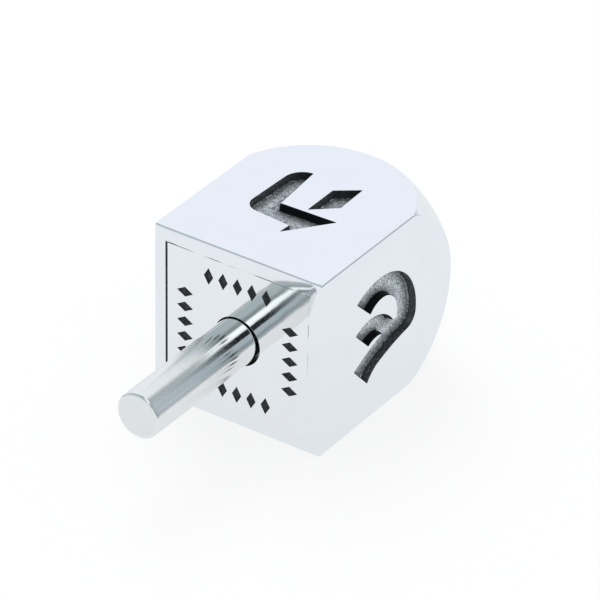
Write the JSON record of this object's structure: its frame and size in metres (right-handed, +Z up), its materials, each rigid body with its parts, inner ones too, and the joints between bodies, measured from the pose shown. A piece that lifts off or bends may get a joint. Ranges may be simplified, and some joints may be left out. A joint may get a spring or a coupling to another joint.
{
  "type": "dreidel",
  "caption": "Four-sided metal spinning top with a domed end, recessed game letters on its sides, an inset stem plate and a round stem that unscrews.",
  "frame": {"origin": "middle of the object's footprint, on the surface it lies on", "axes": "+Y along the stem's axis from the stem's free end to the dome, +Z up out of the uppermost lettered side"},
  "size_m": [0.0254, 0.0556, 0.0254],
  "materials": {
    "body_silver": "polished silver, darkened in the letters",
    "socket_silver": "turned silver, left unpolished",
    "plate_silver": "mirror polished silver, darkened in the engraving",
    "stem_silver": "mirror polished silver"
  },
  "bodies": {
    "top": {"body": "body_silver", "stem_socket": "socket_silver", "stem_plate": "plate_silver"},
    "stem": {"stem": "stem_silver"}
  },
  "joints": [
    {"name": "stem_unscrew", "type": "slide", "parent": "top", "child": "stem", "axis": [0, -1, 0], "range_m": [0, 0.0115]}
  ]
}
